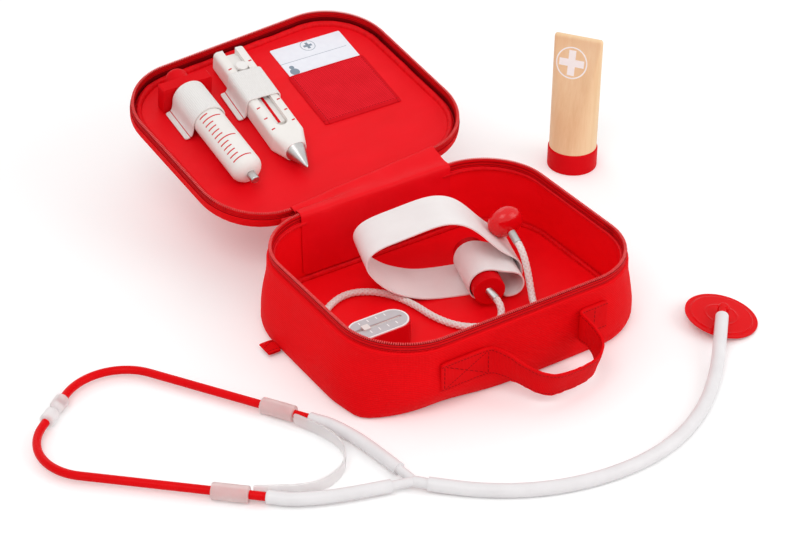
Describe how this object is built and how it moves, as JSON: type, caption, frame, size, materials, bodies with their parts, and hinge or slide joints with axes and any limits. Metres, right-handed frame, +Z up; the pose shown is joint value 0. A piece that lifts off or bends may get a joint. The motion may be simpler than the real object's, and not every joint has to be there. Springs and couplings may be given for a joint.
{
  "type": "toy doctor case",
  "caption": "Open soft zip case for play instruments, with a hinged lid that holds them, a carry handle, a toy cuff set, a toy stethoscope and an ointment tube.",
  "frame": {"origin": "middle of the case's underside, on the surface it stands on", "axes": "+X along the hinge and the handle edge, +Y from the handle to the hinge, +Z up"},
  "size_m": [0.602, 0.5639, 0.128],
  "materials": {
    "red_cloth": "woven nylon, slightly shiny",
    "red_lining": "smooth lining",
    "red_mesh": "open woven mesh",
    "zip_red": "moulded coil",
    "cuff_white": "soft white strap",
    "elastic_white": "ribbed elastic",
    "cord_white": "braided",
    "hose_white": "smooth, satin",
    "clear_plastic": "milky, half clear",
    "red_plastic": "glossy",
    "red_paint": "red lacquer on wood",
    "white_paint": "white lacquer on wood",
    "bare_wood": "clear lacquer",
    "silver": "satin",
    "gauge_grey": "printed grey face",
    "gauge_white": "glossy",
    "card": "matt card"
  },
  "bodies": {
    "case": {"base_floor": "red_cloth", "base_wall": "red_cloth", "floor_binding": "red_lining", "rim_seam": "red_lining", "base_zip_tape": "red_lining", "base_zip_coil": "zip_red", "hinge_panel": "red_cloth", "handle_patches": "red_cloth", "side_tab": "red_cloth", "zip_slider": "zip_red"},
    "lid": {"lid_panel": "red_cloth", "lid_band": "red_cloth", "lid_binding": "red_lining", "lid_zip_tape": "red_lining", "lid_zip_coil": "zip_red", "lid_hinge_flap": "red_cloth", "card_pocket": "red_mesh", "syringe_loop": "elastic_white", "thermometer_loop": "elastic_white", "syringe_barrel": "white_paint", "syringe_flange": "red_paint", "syringe_nozzle": "silver", "thermometer_body": "white_paint", "thermometer_tip": "silver"},
    "syringe_plunger": {"plunger": "red_paint"},
    "thermometer_slide": {"thermometer_strip": "white_paint", "thermometer_column": "red_plastic", "thermometer_button": "white_paint"},
    "card": {"name_card": "card"},
    "zip_pull": {"zip_pull": "zip_red"},
    "handle": {"carry_handle": "red_cloth"},
    "pressure_set": {"gauge_body": "red_paint", "gauge_face": "gauge_grey", "gauge_ferrules": "silver", "cuff_band": "cuff_white", "cuff_roller": "red_paint", "roller_ferrule": "silver", "cuff_cord": "cord_white", "bulb": "red_plastic", "bulb_ferrule": "silver", "bulb_cord": "cord_white"},
    "gauge_marker": {"gauge_marker": "gauge_white"},
    "stethoscope": {"boot_left": "hose_white", "boot_right": "hose_white", "spring_strip": "clear_plastic", "fork": "hose_white", "main_hose": "hose_white", "chest_disc": "red_plastic", "chest_hub": "red_plastic"},
    "ear_left": {"ear_tube_left": "red_plastic", "ear_tip_left": "clear_plastic", "spring_sleeve_left": "clear_plastic"},
    "ear_right": {"ear_tube_right": "red_plastic", "ear_tip_right": "clear_plastic", "spring_sleeve_right": "clear_plastic"},
    "ointment_tube": {"ointment_body": "bare_wood", "ointment_cap": "red_paint"}
  },
  "joints": [
    {"name": "lid_swing", "type": "hinge", "parent": "case", "child": "lid", "pos_m": [0, 0.11, 0.068], "axis": [-0.9991, -0.0393, -0.0175], "range_deg": [-167, 0], "deforming": ["cuff_band"]},
    {"name": "plunger_pull", "type": "slide", "parent": "lid", "child": "syringe_plunger", "axis": [-0.0029, 0.9741, 0.2261], "range_m": [0, 0.009]},
    {"name": "thermometer_push", "type": "slide", "parent": "lid", "child": "thermometer_slide", "axis": [0.0494, 0.9726, 0.2271], "range_m": [0, 0.012]},
    {"name": "card_draw", "type": "slide", "parent": "lid", "child": "card", "axis": [0.0145, 0.9739, 0.2265], "range_m": [0, 0.006]},
    {"name": "pull_swing", "type": "hinge", "parent": "case", "child": "zip_pull", "pos_m": [-0.084, 0.1094, 0.0569], "axis": [1, 0, 0], "range_deg": [0, 45]},
    {"name": "handle_lift", "type": "hinge", "parent": "case", "child": "handle", "pos_m": [0, -0.1082, 0.0335], "axis": [-1, 0, 0], "range_deg": [0, 60]},
    {"name": "pressure_set_lift", "type": "slide", "parent": "case", "child": "pressure_set", "axis": [0, 0, 1], "range_m": [0, 0.15]},
    {"name": "marker_slide", "type": "slide", "parent": "pressure_set", "child": "gauge_marker", "axis": [1, 0, 0], "range_m": [-0.007, 0.03]},
    {"name": "stethoscope_lift", "type": "slide", "parent": "case", "child": "stethoscope", "axis": [0, 0, 1], "range_m": [0, 0.15]},
    {"name": "ear_left_swing", "type": "hinge", "parent": "stethoscope", "child": "ear_left", "pos_m": [-0.18507, -0.15142, 0.0066], "axis": [0, 0, 1], "range_deg": [0, 15], "stiffness_Nm_per_rad": 0.02, "deforming": ["boot_left", "spring_strip"]},
    {"name": "ear_right_swing", "type": "hinge", "parent": "stethoscope", "child": "ear_right", "pos_m": [-0.14243, -0.11512, 0.0066], "axis": [0, 0, -1], "range_deg": [0, 15], "stiffness_Nm_per_rad": 0.02, "deforming": ["boot_right"]},
    {"name": "ointment_lift", "type": "slide", "parent": "case", "child": "ointment_tube", "axis": [0, 0, 1], "range_m": [0, 0.15]}
  ],
  "couplings": [
    {"joint": "ear_right_swing", "follows": "ear_left_swing", "ratio": 1}
  ]
}
